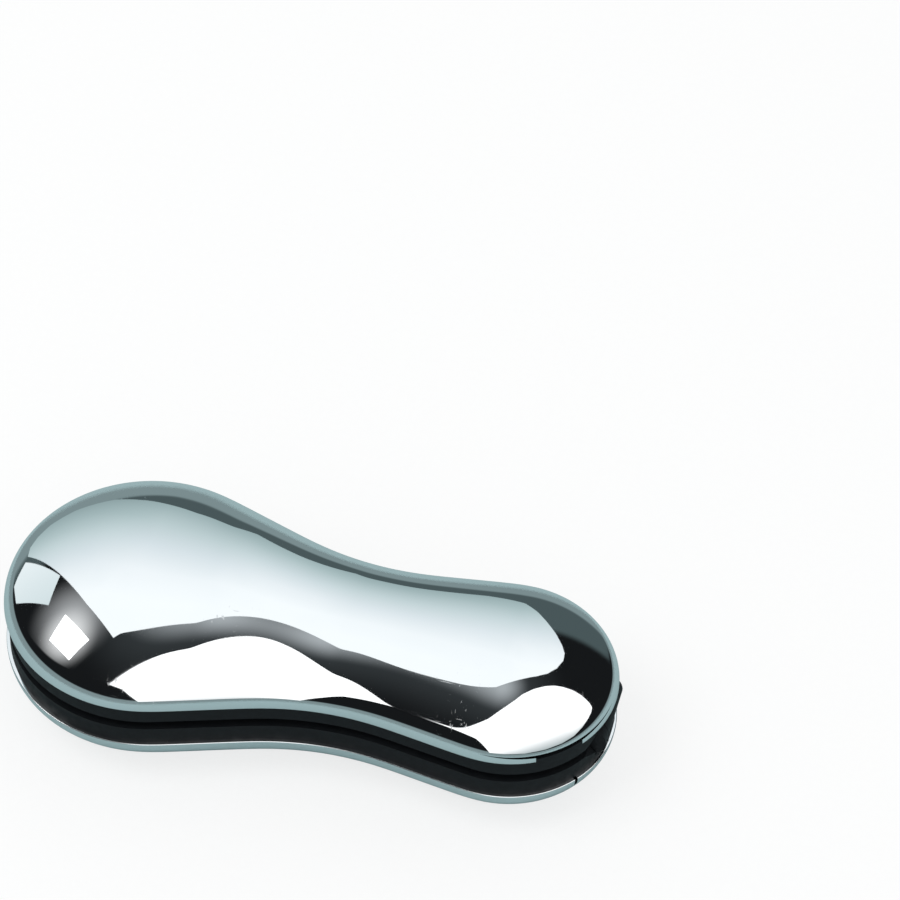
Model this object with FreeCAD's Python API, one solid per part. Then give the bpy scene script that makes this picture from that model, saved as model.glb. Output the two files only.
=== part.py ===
# Hand-held clamshell disc cleaner, closed, standing on its base.
#
# Two chromed peanut-shaped shells are hinged at the small lobe. A black frame in each shell carries
# half of the hinge, a wiping pad and, in the big lobe, a turning seat for the centre of a disc.
# Origin: middle of the footprint, on the surface it stands on. +X from the big lobe to the small
# lobe and hinge, +Z up. Millimetres.
#
# Both halves are modelled in half coordinates: z = 0 on the plane in which the disc lies, z growing
# outward through the shell, x as in the finished part. lid() lifts a half solid to its place over
# the disc plane, base() mirrors it to its place under it.

import FreeCAD
import Part
import math
import os

V = FreeCAD.Vector
X_AXIS = V(1, 0, 0)
Y_AXIS = V(0, 1, 0)
Z_AXIS = V(0, 0, 1)

# ---------------------------------------------------------------- driving dimensions

# outline: two lobes, a straight flank from each, and a concave arc between the flanks
BIG_LOBE_RADIUS = 20.6
SMALL_LOBE_RADIUS = 15.55
LOBE_SPACING = 52.55
BIG_FLANK_ANGLE = 18.3       # flank to the long axis, degrees
SMALL_FLANK_ANGLE = 8.35
NECK_ARC_RADIUS = 42.8
OUTLINE_MARGIN = 5.0         # cutting blocks beyond the outline

# heights
BAND_HEIGHT = 7.4            # black band between the two chrome rims
BIG_CROWN_HEIGHT = 10.4      # rim edge to top of the big lobe
SMALL_CROWN_HEIGHT = 8.45    # rim edge to top of the small lobe
NECK_CROWN_HEIGHT = 8.0      # rim edge to the ridge at the neck
RIDGE_FALL_START = 10.0      # from the big lobe's centre, where its ridge starts to drop
RIDGE_FALL_END = 30.0
RIDGE_RISE_START = 33.0      # where the ridge starts to rise to the small lobe's centre
BASE_DEPTH = 8.3             # rim edge to the surface that the base stands on

# covers
EDGE_ROUND = 4.55            # rounding between rim and crown
COVER_WALL = 1.0
STANDING_WALL = 1.2          # cover wall over the base's flat
CROWN_STATIONS = 15          # sections lofted between the two lobe centres

# feet under the base's flat
FOOT_RADIUS = 1.9
FOOT_FACE_RADIUS = 1.2
FOOT_HEIGHT = 0.5
BIG_FOOT_CIRCLE = 9.4
BIG_FOOT_ANGLE = 125.0       # either side of +X about the big lobe's centre
SMALL_FOOT_SPREAD = 3.5
SMALL_FOOT_LEAD = 1.0        # beyond the small lobe's centre

# trim rings
RING_HEIGHT = 1.3
RING_FIT = 0.1               # trim ring to the frame's plug
SPLIT_GAP = 7.3              # opening in the lid's ring
SPLIT_ANGLE = -48.0          # its middle, degrees about the small lobe's centre
SPLIT_DROOP = 0.45           # how far the open ring's ends stand off the cover
SPLIT_DROOP_REACH = 30.0     # degrees from each end over which they do
JOINT_GAP = 0.5              # butt joint of the base's ring
JOINT_ANGLE = -37.0

# frames
SLOT_HEIGHT = 1.6            # running slot for the disc between the two frames
FRAME_INSET = 0.5            # band is set back from the rims
FRAME_WALL = 1.4
FRAME_FLOOR = 1.3
FLOOR_DEPTH = 2.95           # disc plane to the frame's floor
PLUG_INSET = 1.75            # stretch of the frame that enters ring and cover
PLUG_RISE = 1.9              # plug over the rim edge
PLUG_WALL = 1.0

# wiping pads
PAD_WIDTH = 15.2
PAD_END_GAP = 1.9            # turntable edge to the pad
PAD_TIP_FROM_HUB = 58.6      # far end of the pad, just inside a disc's rim
PAD_FACE_GAP = 0.3           # between the two cloth faces, closed
CLOTH_THICKNESS = 0.8
CLOTH_OVERHANG = 0.2         # cloth beyond the foam's edge
PAD_RIB_HEIGHT = 0.9
PAD_RIB_WALL = 0.8
PAD_RIB_GAP = 0.3

# hub and clamp
DISC_HOLE_DIAMETER = 15.0
DISC_THICKNESS = 1.2
SPIGOT_CLEARANCE = 0.1       # on the radius, in the disc's hole
SPIGOT_RISE = 0.9            # over the disc plane
SPIGOT_CHAMFER = 0.4
GRIP_INNER_RADIUS = 10.3
GRIP_WIDTH = 2.4
TABLE_LIP = 0.8              # turntable beyond the grip ring
TABLE_CHAMFER = 0.4
GRIP_PROUD = 0.3
GRIP_SEAT_DEPTH = 0.4
GRIP_CHAMFER = 0.1
CLAMP_LIFT = 0.15            # clamp ring over the top face of a disc
AXLE_RADIUS = 2.2
AXLE_RUNNING_FIT = 0.05
AXLE_END_PLAY = 0.05         # at each face
AXLE_HEAD_RADIUS = 3.6
AXLE_HEAD_HEIGHT = 0.65
AXLE_HEAD_CHAMFER = 0.15
HEAD_POCKET_DEPTH = 0.8
HEAD_POCKET_CLEARANCE = 0.3
AXLE_THREAD_RADIUS = 1.5
AXLE_THREAD_LENGTH = 3.2
DRIVE_WIDTH = 0.8
DRIVE_DEPTH = 0.35
WASHER_RADIUS = 5.6
WASHER_THICKNESS = 0.3
BOSS_RADIUS = 4.0
BOSS_RISE = 3.0

# self-tapping screws
SCREW_RADIUS = 1.0
SCREW_HEAD_RADIUS = 1.75
SCREW_HEAD_HEIGHT = 0.9
SCREW_DRIVE_WIDTH = 0.6
SCREW_DRIVE_DEPTH = 0.45
SCREW_LENGTH = 3.6           # under the head
SCREW_TIP_RADIUS = 0.5
SCREW_TIP_LENGTH = 0.8
SCREW_HOLE_CLEARANCE = 0.15
SCREW_HOLE_SPARE = 0.3
POST_RADIUS = 1.9
POST_ROOT = 0.4              # how far a post reaches into the cover's wall
POST_PLUG_GAP = 0.15         # small lobe's posts to the plug
HEAD_TABLE_GAP = 0.4         # big lobe's screw heads to the turntable
BIG_SCREW_ANGLE = 128.0      # either side of +X about the hub

# hinge
HINGE_INSET = 0.15           # barrel behind the outline's end
BARREL_RADIUS = 3.0
PIN_RADIUS = 1.0
PIN_RUNNING_FIT = 0.05
PIN_END_INSET = 0.3
OUTER_KNUCKLE_WIDTH = 1.7
CENTRE_KNUCKLE_WIDTH = 6.6
KNUCKLE_GAP = 0.1
KNUCKLE_SWEEP_CLEARANCE = 0.2
OPEN_ANGLE = 90.0
OPEN_ANGLE_SPARE = 10.0
SPRING_WIRE_RADIUS = 0.25
SPRING_PIN_CLEARANCE = 0.35
SPRING_CHAMBER_CLEARANCE = 0.35
SPRING_SIDE_CLEARANCE = 0.25
SPRING_TURNS = 5             # full turns with both legs pointing the same way
SPRING_PITCH = 0.6
BASE_LEG_ANGLE = 248.0       # the way each leg points, degrees from +X towards the lid
BASE_LEG_LENGTH = 4.7
LID_LEG_ANGLE = 120.0
LID_LEG_LENGTH = 3.2
LEG_HOLE_CLEARANCE = 0.1
WINDOW_SPARE = 14.0          # degrees beyond the base leg's sweep, each way
SECTOR_STEPS = 6             # straight stretches of a cutting sector's outer edge

# ---------------------------------------------------------------- derived values

LENGTH = BIG_LOBE_RADIUS + LOBE_SPACING + SMALL_LOBE_RADIUS
BIG_X = BIG_LOBE_RADIUS - LENGTH / 2
SMALL_X = BIG_X + LOBE_SPACING
WIDTH = 2 * max(BIG_LOBE_RADIUS, SMALL_LOBE_RADIUS)
RIM_Z = BAND_HEIGHT / 2
DISC_PLANE_Z = RIM_Z + BASE_DEPTH
BASE_FLAT_Z = DISC_PLANE_Z - FOOT_HEIGHT
SLOT_Z = SLOT_HEIGHT / 2
PLUG_TOP_Z = RIM_Z + PLUG_RISE
FLOOR_BACK_Z = FLOOR_DEPTH + FRAME_FLOOR
RING_TOP_Z = RIM_Z + RING_HEIGHT
DISC_FACE_Z = DISC_THICKNESS / 2
SPIGOT_RADIUS = DISC_HOLE_DIAMETER / 2 - SPIGOT_CLEARANCE
GRIP_OUTER_RADIUS = GRIP_INNER_RADIUS + GRIP_WIDTH
TURNTABLE_RADIUS = GRIP_OUTER_RADIUS + TABLE_LIP
TABLE_BACK_Z = FLOOR_DEPTH - WASHER_THICKNESS - AXLE_END_PLAY
HUB_TABLE_Z = DISC_FACE_Z + GRIP_PROUD
CLAMP_TABLE_Z = DISC_FACE_Z + CLAMP_LIFT + GRIP_PROUD
CLOTH_FACE_Z = PAD_FACE_GAP / 2
FOAM_FACE_Z = CLOTH_FACE_Z + CLOTH_THICKNESS
HINGE_X = SMALL_X + SMALL_LOBE_RADIUS - HINGE_INSET - BARREL_RADIUS
BARREL_LENGTH = CENTRE_KNUCKLE_WIDTH + 2 * (KNUCKLE_GAP + OUTER_KNUCKLE_WIDTH)
BIG_SCREW_CIRCLE = TURNTABLE_RADIUS + HEAD_TABLE_GAP + SCREW_HEAD_RADIUS
SMALL_SCREW_SPREAD = SMALL_LOBE_RADIUS - PLUG_INSET - PLUG_WALL - POST_PLUG_GAP - POST_RADIUS
COIL_RADIUS = PIN_RADIUS + SPRING_PIN_CLEARANCE + SPRING_WIRE_RADIUS
COIL_TURNS = SPRING_TURNS + (BASE_LEG_ANGLE - LID_LEG_ANGLE - 180) / 360
COIL_HALF = COIL_TURNS * SPRING_PITCH / 2
CHAMBER_RADIUS = COIL_RADIUS + SPRING_WIRE_RADIUS + SPRING_CHAMBER_CLEARANCE
CHAMBER_HALF = COIL_HALF + SPRING_WIRE_RADIUS + SPRING_SIDE_CLEARANCE
TALL = max(BIG_CROWN_HEIGHT, SMALL_CROWN_HEIGHT) + BAND_HEIGHT

# ---------------------------------------------------------------- small helpers


def lid(shape):
    """A half solid in its place over the disc plane."""
    return shape.translated(V(0, 0, DISC_PLANE_Z))


def base(shape):
    """A half solid mirrored to its place under the disc plane."""
    return shape.mirror(V(0, 0, 0), Z_AXIS).translated(V(0, 0, DISC_PLANE_Z))


def cylinder(radius, low, high, x=0.0, y=0.0):
    return Part.makeCylinder(radius, high - low, V(x, y, low), Z_AXIS)


def y_cylinder(radius, y_low, y_high):
    """Cylinder round the hinge axis."""
    return Part.makeCylinder(radius, y_high - y_low, V(HINGE_X, y_low, 0), Y_AXIS)


def turned(points):
    """Solid of revolution about the hub axis from (radius, z) points."""
    outline = [V(BIG_X + radius, 0, z) for radius, z in points]
    face = Part.Face(Part.makePolygon(outline + [outline[0]]))
    return face.revolve(V(BIG_X, 0, 0), Z_AXIS, 360)


def on_circle(radius, degrees, x):
    angle = math.radians(degrees)
    return x + radius * math.cos(angle), radius * math.sin(angle)


def hinge_sector(radius, start, end, y_low, y_high):
    """Pie-shaped prism about the hinge axis, angles in degrees from +X towards the lid."""
    points = [V(HINGE_X, y_low, 0)]
    for step in range(SECTOR_STEPS + 1):
        px, pz = on_circle(radius, start + (end - start) * step / SECTOR_STEPS, HINGE_X)
        points.append(V(px, y_low, pz))
    face = Part.Face(Part.makePolygon(points + [points[0]]))
    return face.extrude(V(0, y_high - y_low, 0))


# ---------------------------------------------------------------- outline


def flank_normals():
    """Unit normals of the two flanks on the +Y side."""
    big = math.radians(BIG_FLANK_ANGLE)
    small = math.radians(SMALL_FLANK_ANGLE)
    return (math.sin(big), math.cos(big)), (-math.sin(small), math.cos(small))


def neck_centre():
    """Centre of the +Y neck arc, which both flanks touch, from the big lobe's centre."""
    (big_x, big_y), (small_x, small_y) = flank_normals()
    big_reach = BIG_LOBE_RADIUS + NECK_ARC_RADIUS
    small_reach = SMALL_LOBE_RADIUS + NECK_ARC_RADIUS + small_x * LOBE_SPACING
    spread = big_x * small_y - big_y * small_x
    along = (big_reach * small_y - small_reach * big_y) / spread
    aside = (small_reach * big_x - big_reach * small_x) / spread
    return along, aside


def outline_points(inset):
    """Points of the inset outline on the +Y side: both ends of each flank, and the waist between."""
    (big_x, big_y), (small_x, small_y) = flank_normals()
    along, aside = neck_centre()
    big_reach = BIG_LOBE_RADIUS - inset
    small_reach = SMALL_LOBE_RADIUS - inset
    neck_reach = NECK_ARC_RADIUS + inset
    return (
        (BIG_X + big_reach * big_x, big_reach * big_y),
        (BIG_X + along - neck_reach * big_x, aside - neck_reach * big_y),
        (BIG_X + along, aside - neck_reach),
        (BIG_X + along - neck_reach * small_x, aside - neck_reach * small_y),
        (SMALL_X + small_reach * small_x, small_reach * small_y),
    )


def prism(inset, low, high):
    """Prism of the peanut outline, set in from it by a constant distance."""
    upper = [V(x, y, low) for x, y in outline_points(inset)]
    lower = [V(point.x, -point.y, low) for point in upper]
    far_big = V(BIG_X - BIG_LOBE_RADIUS + inset, 0, low)
    far_small = V(SMALL_X + SMALL_LOBE_RADIUS - inset, 0, low)
    edges = [
        Part.Arc(upper[0], far_big, lower[0]).toShape(),
        Part.makeLine(lower[0], lower[1]),
        Part.Arc(lower[1], lower[2], lower[3]).toShape(),
        Part.makeLine(lower[3], lower[4]),
        Part.Arc(lower[4], far_small, upper[4]).toShape(),
        Part.makeLine(upper[4], upper[3]),
        Part.Arc(upper[3], upper[2], upper[1]).toShape(),
        Part.makeLine(upper[1], upper[0]),
    ]
    return Part.Face(Part.Wire(edges)).extrude(V(0, 0, high - low))


def half_width(x):
    """Half width of the outline at x, between the lobe centres."""
    big_end, big_neck, _, small_neck, small_end = outline_points(0)
    along, aside = neck_centre()
    if x <= big_end[0]:
        return math.sqrt(BIG_LOBE_RADIUS ** 2 - (x - BIG_X) ** 2)
    if x <= big_neck[0]:
        return big_end[1] - (x - big_end[0]) * math.tan(math.radians(BIG_FLANK_ANGLE))
    if x <= small_neck[0]:
        return aside - math.sqrt(NECK_ARC_RADIUS ** 2 - (x - BIG_X - along) ** 2)
    if x <= small_end[0]:
        return small_end[1] - (small_end[0] - x) * math.tan(math.radians(SMALL_FLANK_ANGLE))
    return math.sqrt(SMALL_LOBE_RADIUS ** 2 - (x - SMALL_X) ** 2)


# ---------------------------------------------------------------- domed covers


def eased(value, start, end):
    """0 before start, 1 after end, level at both."""
    share = min(1.0, max(0.0, (value - start) / (end - start)))
    return share * share * (3 - 2 * share)


def crown_height(x):
    """Height of the ridge over the rim: level over the big lobe, lowest at the neck."""
    along = x - BIG_X
    big = (BIG_CROWN_HEIGHT - NECK_CROWN_HEIGHT) * (1 - eased(along, RIDGE_FALL_START, RIDGE_FALL_END))
    small = (SMALL_CROWN_HEIGHT - NECK_CROWN_HEIGHT) * eased(along, RIDGE_RISE_START, LOBE_SPACING)
    return NECK_CROWN_HEIGHT + big + small


def profile(width, height, inset):
    """Crown section: edge point, rounding middle, junction and top, as (across, z) pairs."""
    reach = width - EDGE_ROUND
    crown_radius = (reach ** 2 + height ** 2 - EDGE_ROUND ** 2) / (2 * (height - EDGE_ROUND))
    drop = crown_radius - height
    slope = math.atan2(drop, reach)
    round_radius = EDGE_ROUND - inset
    middle = (reach + round_radius * math.cos(slope / 2), RIM_Z + round_radius * math.sin(slope / 2))
    junction = (reach + round_radius * math.cos(slope), RIM_Z + round_radius * math.sin(slope))
    edge = (width - inset, RIM_Z)
    shoulder_slope = (slope + math.pi / 2) / 2
    shoulder = ((crown_radius - inset) * math.cos(shoulder_slope),
                RIM_Z - drop + (crown_radius - inset) * math.sin(shoulder_slope))
    top = (0.0, RIM_Z + height - inset)
    return edge, middle, junction, shoulder, top


def crown_section(x, inset):
    """Closed section of the dome across the ridge at x."""
    edge, middle, junction, _, top = profile(half_width(x), crown_height(x), inset)

    def at(point, side):
        return V(x, side * point[0], point[1])

    edges = [
        Part.makeLine(at(edge, -1), at(edge, 1)),
        Part.Arc(at(edge, 1), at(middle, 1), at(junction, 1)).toShape(),
        Part.Arc(at(junction, 1), at(top, 1), at(junction, -1)).toShape(),
        Part.Arc(at(junction, -1), at(middle, -1), at(edge, -1)).toShape(),
    ]
    return Part.Wire(edges)


def lobe_dome(x, radius, height, inset, direction):
    """Half a turned dome about the lobe's centre, on the side that direction points to."""
    edge, middle, junction, shoulder, top = profile(radius, height, inset)

    def at(point):
        return V(x, point[0], point[1])

    outline = [
        Part.makeLine(V(x, 0, RIM_Z), at(edge)),
        Part.Arc(at(edge), at(middle), at(junction)).toShape(),
        Part.Arc(at(junction), at(shoulder), at(top)).toShape(),
        Part.makeLine(at(top), V(x, 0, RIM_Z)),
    ]
    face = Part.Face(Part.Wire(outline))
    return face.revolve(V(x, 0, 0), Z_AXIS, -180 * direction)


def dome(inset):
    """Solid under the domed outer surface, or under the surface set in from it."""
    span = LOBE_SPACING / (CROWN_STATIONS - 1)
    sections = [crown_section(BIG_X + index * span, inset) for index in range(CROWN_STATIONS)]
    bridge = Part.makeLoft(sections, True, False)
    big_end = lobe_dome(BIG_X, BIG_LOBE_RADIUS, BIG_CROWN_HEIGHT, inset, -1)
    small_end = lobe_dome(SMALL_X, SMALL_LOBE_RADIUS, SMALL_CROWN_HEIGHT, inset, 1)
    return bridge.fuse([big_end, small_end])


def slab(low, high):
    """Everything between two heights."""
    return Part.makeBox(2 * LENGTH, 2 * WIDTH, high - low, V(-LENGTH, -WIDTH, low))


def screw_places():
    places = [on_circle(BIG_SCREW_CIRCLE, side * BIG_SCREW_ANGLE, BIG_X) for side in (-1, 1)]
    places += [(SMALL_X, side * SMALL_SCREW_SPREAD) for side in (-1, 1)]
    return places


def cover(outer, inner, post_limit):
    """Chromed shell with four screw posts."""
    shell = outer.cut(inner).common(slab(RING_TOP_Z, RIM_Z + TALL))
    for x, y in screw_places():
        post = cylinder(POST_RADIUS, FLOOR_BACK_Z, RIM_Z + TALL, x, y).common(post_limit)
        shell = shell.fuse(post)
    hole_end = FLOOR_DEPTH + SCREW_LENGTH + SCREW_HOLE_SPARE
    for x, y in screw_places():
        shell = shell.cut(cylinder(SCREW_RADIUS, FLOOR_BACK_Z, hole_end, x, y))
    return shell


def top_cover():
    return cover(dome(0), dome(COVER_WALL), dome(COVER_WALL - POST_ROOT))


def bottom_cover():
    """The same shell with a flat for the feet."""
    floor_z = BASE_FLAT_Z - STANDING_WALL
    outer = dome(0).common(slab(RIM_Z, BASE_FLAT_Z))
    inner = dome(COVER_WALL).common(slab(RIM_Z, floor_z))
    post_limit = dome(COVER_WALL - POST_ROOT).common(slab(RIM_Z, floor_z + POST_ROOT))
    return cover(outer, inner, post_limit)


def standing_feet():
    """Four low bumpers on the base's flat, two under each lobe."""
    places = [on_circle(BIG_FOOT_CIRCLE, side * BIG_FOOT_ANGLE, BIG_X) for side in (-1, 1)]
    places += [(SMALL_X + SMALL_FOOT_LEAD, side * SMALL_FOOT_SPREAD) for side in (-1, 1)]
    feet = []
    for x, y in places:
        start = V(x, y, BASE_FLAT_Z)
        feet.append(Part.makeCone(FOOT_RADIUS, FOOT_FACE_RADIUS, FOOT_HEIGHT, start, Z_AXIS))
    return Part.makeCompound(feet)


# ---------------------------------------------------------------- trim rings


def whole_ring():
    outer = dome(0).common(slab(RIM_Z, RING_TOP_Z))
    return outer.cut(prism(PLUG_INSET - RING_FIT, RIM_Z, RING_TOP_Z))


def arc_cut(gap, angle):
    """Straight-sided gap across the ring at an angle about the small lobe's centre."""
    depth = PLUG_INSET + OUTLINE_MARGIN
    px, py = on_circle(SMALL_LOBE_RADIUS - PLUG_INSET, angle, SMALL_X)
    block = Part.makeBox(depth, gap, BAND_HEIGHT, V(0, -gap / 2, 0))
    block.rotate(V(0, 0, 0), Z_AXIS, angle)
    return block.translated(V(px, py, RIM_Z))


def droop_wedge(side):
    """Thin wedge between cover and ring: deepest at the gap, running out along the ring."""
    half_gap = math.degrees(SPLIT_GAP / 2 / SMALL_LOBE_RADIUS)
    near = SPLIT_ANGLE + side * half_gap
    near_x, near_y = on_circle(SMALL_LOBE_RADIUS, near, SMALL_X)
    far_x, far_y = on_circle(SMALL_LOBE_RADIUS, near + side * SPLIT_DROOP_REACH, SMALL_X)
    near_point = V(near_x, near_y, RING_TOP_Z)
    far_point = V(far_x, far_y, RING_TOP_Z)
    low_point = near_point - V(0, 0, SPLIT_DROOP)
    face = Part.Face(Part.makePolygon([near_point, far_point, low_point, near_point]))
    across = (far_point - near_point).cross(Z_AXIS).normalize()
    thickness = 2 * (PLUG_INSET + OUTLINE_MARGIN)
    return face.translated(across * (-thickness / 2)).extrude(across * thickness)


def top_trim_ring():
    ring = whole_ring().cut(arc_cut(SPLIT_GAP, SPLIT_ANGLE))
    for side in (-1, 1):
        ring = ring.cut(droop_wedge(side))
    return ring


def bottom_trim_ring():
    return whole_ring().cut(arc_cut(JOINT_GAP, JOINT_ANGLE))


# ---------------------------------------------------------------- pads


def pad_prism(margin, low, high):
    """Pad outline: round tip by the hinge, straight sides, hollow end round the turntable."""
    half = PAD_WIDTH / 2 + margin
    tip_centre = BIG_X + PAD_TIP_FROM_HUB - PAD_WIDTH / 2
    hollow = TURNTABLE_RADIUS + PAD_END_GAP - margin
    start_x = BIG_X + math.sqrt(hollow ** 2 - half ** 2)
    corners = [V(start_x, -half, low), V(tip_centre, -half, low)]
    corners += [V(tip_centre, half, low), V(start_x, half, low)]
    edges = [
        Part.makeLine(corners[0], corners[1]),
        Part.Arc(corners[1], V(tip_centre + half, 0, low), corners[2]).toShape(),
        Part.makeLine(corners[2], corners[3]),
        Part.Arc(corners[3], V(BIG_X + hollow, 0, low), corners[0]).toShape(),
    ]
    return Part.Face(Part.Wire(edges)).extrude(V(0, 0, high - low))


def foam_pad():
    return pad_prism(0, FOAM_FACE_Z, FLOOR_DEPTH)


def cloth_pad():
    return pad_prism(CLOTH_OVERHANG, CLOTH_FACE_Z, FOAM_FACE_Z)


def pad_rib():
    low = FLOOR_DEPTH - PAD_RIB_HEIGHT
    outer = pad_prism(PAD_RIB_GAP + PAD_RIB_WALL, low, FLOOR_DEPTH)
    return outer.cut(pad_prism(PAD_RIB_GAP, low, FLOOR_DEPTH))


# ---------------------------------------------------------------- frames


def frame_body():
    """Wall, floor, plug, hub boss, pad rib and screw holes, before the hinge is cut and added."""
    body = prism(FRAME_INSET, SLOT_Z, RIM_Z).fuse(prism(PLUG_INSET, RIM_Z, PLUG_TOP_Z))
    body = body.cut(prism(FRAME_INSET + FRAME_WALL, SLOT_Z, FLOOR_DEPTH))
    body = body.cut(prism(PLUG_INSET + PLUG_WALL, FLOOR_BACK_Z, PLUG_TOP_Z))
    body = body.fuse([pad_rib(), cylinder(BOSS_RADIUS, FLOOR_DEPTH, FLOOR_BACK_Z + BOSS_RISE, BIG_X)])
    thread_end = FLOOR_DEPTH + AXLE_THREAD_LENGTH
    holes = [cylinder(AXLE_THREAD_RADIUS, FLOOR_DEPTH, thread_end, BIG_X)]
    for x, y in screw_places():
        holes.append(cylinder(SCREW_RADIUS + SCREW_HOLE_CLEARANCE, FLOOR_DEPTH, FLOOR_BACK_Z, x, y))
    return body.cut(holes)


def hinge_relief():
    """Room behind the hinge axis for the other half to swing, and round the barrel."""
    relief_angle = math.radians((OPEN_ANGLE + OPEN_ANGLE_SPARE) / 2)
    reach = BARREL_RADIUS + HINGE_INSET + FRAME_WALL
    corners = [V(HINGE_X, -WIDTH, 0), V(HINGE_X + reach, -WIDTH, 0)]
    corners.append(V(HINGE_X + reach, -WIDTH, reach * math.tan(relief_angle)))
    wedge = Part.Face(Part.makePolygon(corners + [corners[0]])).extrude(V(0, 2 * WIDTH, 0))
    side = BARREL_LENGTH / 2 + KNUCKLE_SWEEP_CLEARANCE
    barrel_room = y_cylinder(BARREL_RADIUS + KNUCKLE_SWEEP_CLEARANCE, -side, side)
    return wedge.fuse(barrel_room)


def knuckle(y_low, y_high):
    """Barrel stretch with the arm that joins it to its frame's floor."""
    width = y_high - y_low
    arm = Part.makeBox(BARREL_RADIUS, width, FLOOR_BACK_Z, V(HINGE_X - BARREL_RADIUS, y_low, 0))
    return y_cylinder(BARREL_RADIUS, y_low, y_high).fuse(arm)


def leg_angle_at(radius):
    """Where the base leg crosses a circle about the hinge axis, degrees from +X."""
    return BASE_LEG_ANGLE - 90 + math.degrees(math.acos(COIL_RADIUS / radius))


def top_frame():
    """Lid frame with the centre knuckle, hollow for the spring and open for its base leg."""
    half = CENTRE_KNUCKLE_WIDTH / 2
    body = frame_body().cut(hinge_relief()).fuse(knuckle(-half, half))
    window_start = leg_angle_at(CHAMBER_RADIUS) - WINDOW_SPARE
    window_end = leg_angle_at(BARREL_RADIUS) + OPEN_ANGLE + WINDOW_SPARE
    return body.cut([
        y_cylinder(PIN_RADIUS + PIN_RUNNING_FIT, -half, half),
        y_cylinder(CHAMBER_RADIUS, -CHAMBER_HALF, CHAMBER_HALF),
        hinge_sector(2 * BARREL_RADIUS, window_start, window_end, -CHAMBER_HALF, CHAMBER_HALF),
        leg_hole(LID_LEG_ANGLE, -1, LID_LEG_LENGTH),
    ])


def bottom_frame():
    """Base frame with the two outer knuckles, which grip the pin, and a hole for the spring's leg."""
    inner = CENTRE_KNUCKLE_WIDTH / 2 + KNUCKLE_GAP
    outer = inner + OUTER_KNUCKLE_WIDTH
    body = frame_body().cut(hinge_relief())
    body = body.fuse([knuckle(inner, outer), knuckle(-outer, -inner)])
    return body.cut([
        y_cylinder(PIN_RADIUS, -outer, outer),
        leg_hole(BASE_LEG_ANGLE, 1, BASE_LEG_LENGTH).mirror(V(0, 0, 0), Z_AXIS),
    ])


# ---------------------------------------------------------------- hinge pin and spring


def hinge_pin():
    end = BARREL_LENGTH / 2 - PIN_END_INSET
    return y_cylinder(PIN_RADIUS, -end, end)


def leg_line(angle, side):
    """Start and direction of a straight leg that leaves the coil at a tangent, lead included."""
    lead = math.atan2(SPRING_PITCH, 2 * math.pi * COIL_RADIUS)
    along_x = math.cos(math.radians(angle))
    along_z = math.sin(math.radians(angle))
    start = V(HINGE_X + side * along_z * COIL_RADIUS, -side * COIL_HALF, -side * along_x * COIL_RADIUS)
    along = V(along_x * math.cos(lead), -side * math.sin(lead), along_z * math.cos(lead))
    return start, along


def leg_hole(angle, side, length):
    start, along = leg_line(angle, side)
    radius = SPRING_WIRE_RADIUS + LEG_HOLE_CLEARANCE
    return Part.makeCylinder(radius, length + LEG_HOLE_CLEARANCE, start, along)


def hinge_spring():
    """Torsion spring round the pin, in the lid's half coordinates: leg, coil and leg in one sweep."""
    base_start, base_along = leg_line(BASE_LEG_ANGLE, 1)
    lid_start, lid_along = leg_line(LID_LEG_ANGLE, -1)
    coil = Part.makeHelix(SPRING_PITCH, 2 * COIL_HALF, COIL_RADIUS)
    coil.rotate(V(0, 0, 0), X_AXIS, -90)
    coil.rotate(V(0, 0, 0), Y_AXIS, 90 - BASE_LEG_ANGLE)
    coil.translate(V(HINGE_X, -COIL_HALF, 0))
    base_end = base_start + base_along * BASE_LEG_LENGTH
    lid_end = lid_start + lid_along * LID_LEG_LENGTH
    edges = [Part.makeLine(base_end, base_start)] + coil.Edges + [Part.makeLine(lid_start, lid_end)]
    path = Part.Wire(Part.__sortEdges__(edges))
    section = Part.Wire(Part.makeCircle(SPRING_WIRE_RADIUS, base_end, base_along))
    return path.makePipeShell([section], True, True)


# ---------------------------------------------------------------- hub and clamp


def grip_seat(face_z):
    """Groove for the grip ring, as profile points going inward."""
    seat_z = face_z + GRIP_SEAT_DEPTH
    return [
        (GRIP_OUTER_RADIUS, face_z),
        (GRIP_OUTER_RADIUS, seat_z),
        (GRIP_INNER_RADIUS, seat_z),
        (GRIP_INNER_RADIUS, face_z),
    ]


def rotor(face_z, nose, nose_z):
    """Turned disc that runs on an axle: grip seat in its face, head pocket in its nose."""
    bore = AXLE_RADIUS + AXLE_RUNNING_FIT
    pocket = AXLE_HEAD_RADIUS + HEAD_POCKET_CLEARANCE
    pocket_z = nose_z + HEAD_POCKET_DEPTH
    rim = [
        (bore, TABLE_BACK_Z),
        (TURNTABLE_RADIUS, TABLE_BACK_Z),
        (TURNTABLE_RADIUS, face_z + TABLE_CHAMFER),
        (TURNTABLE_RADIUS - TABLE_CHAMFER, face_z),
    ]
    head = [(pocket, nose_z), (pocket, pocket_z), (bore, pocket_z)]
    return turned(rim + grip_seat(face_z) + nose + head)


def disc_hub():
    """Turntable with the spigot for the disc's hole."""
    spigot = [
        (SPIGOT_RADIUS, HUB_TABLE_Z),
        (SPIGOT_RADIUS, SPIGOT_CHAMFER - SPIGOT_RISE),
        (SPIGOT_RADIUS - SPIGOT_CHAMFER, -SPIGOT_RISE),
    ]
    return rotor(HUB_TABLE_Z, spigot, -SPIGOT_RISE)


def disc_clamp():
    """Flat-nosed rotor over the disc."""
    return rotor(CLAMP_TABLE_Z, [], CLAMP_TABLE_Z)


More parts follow.
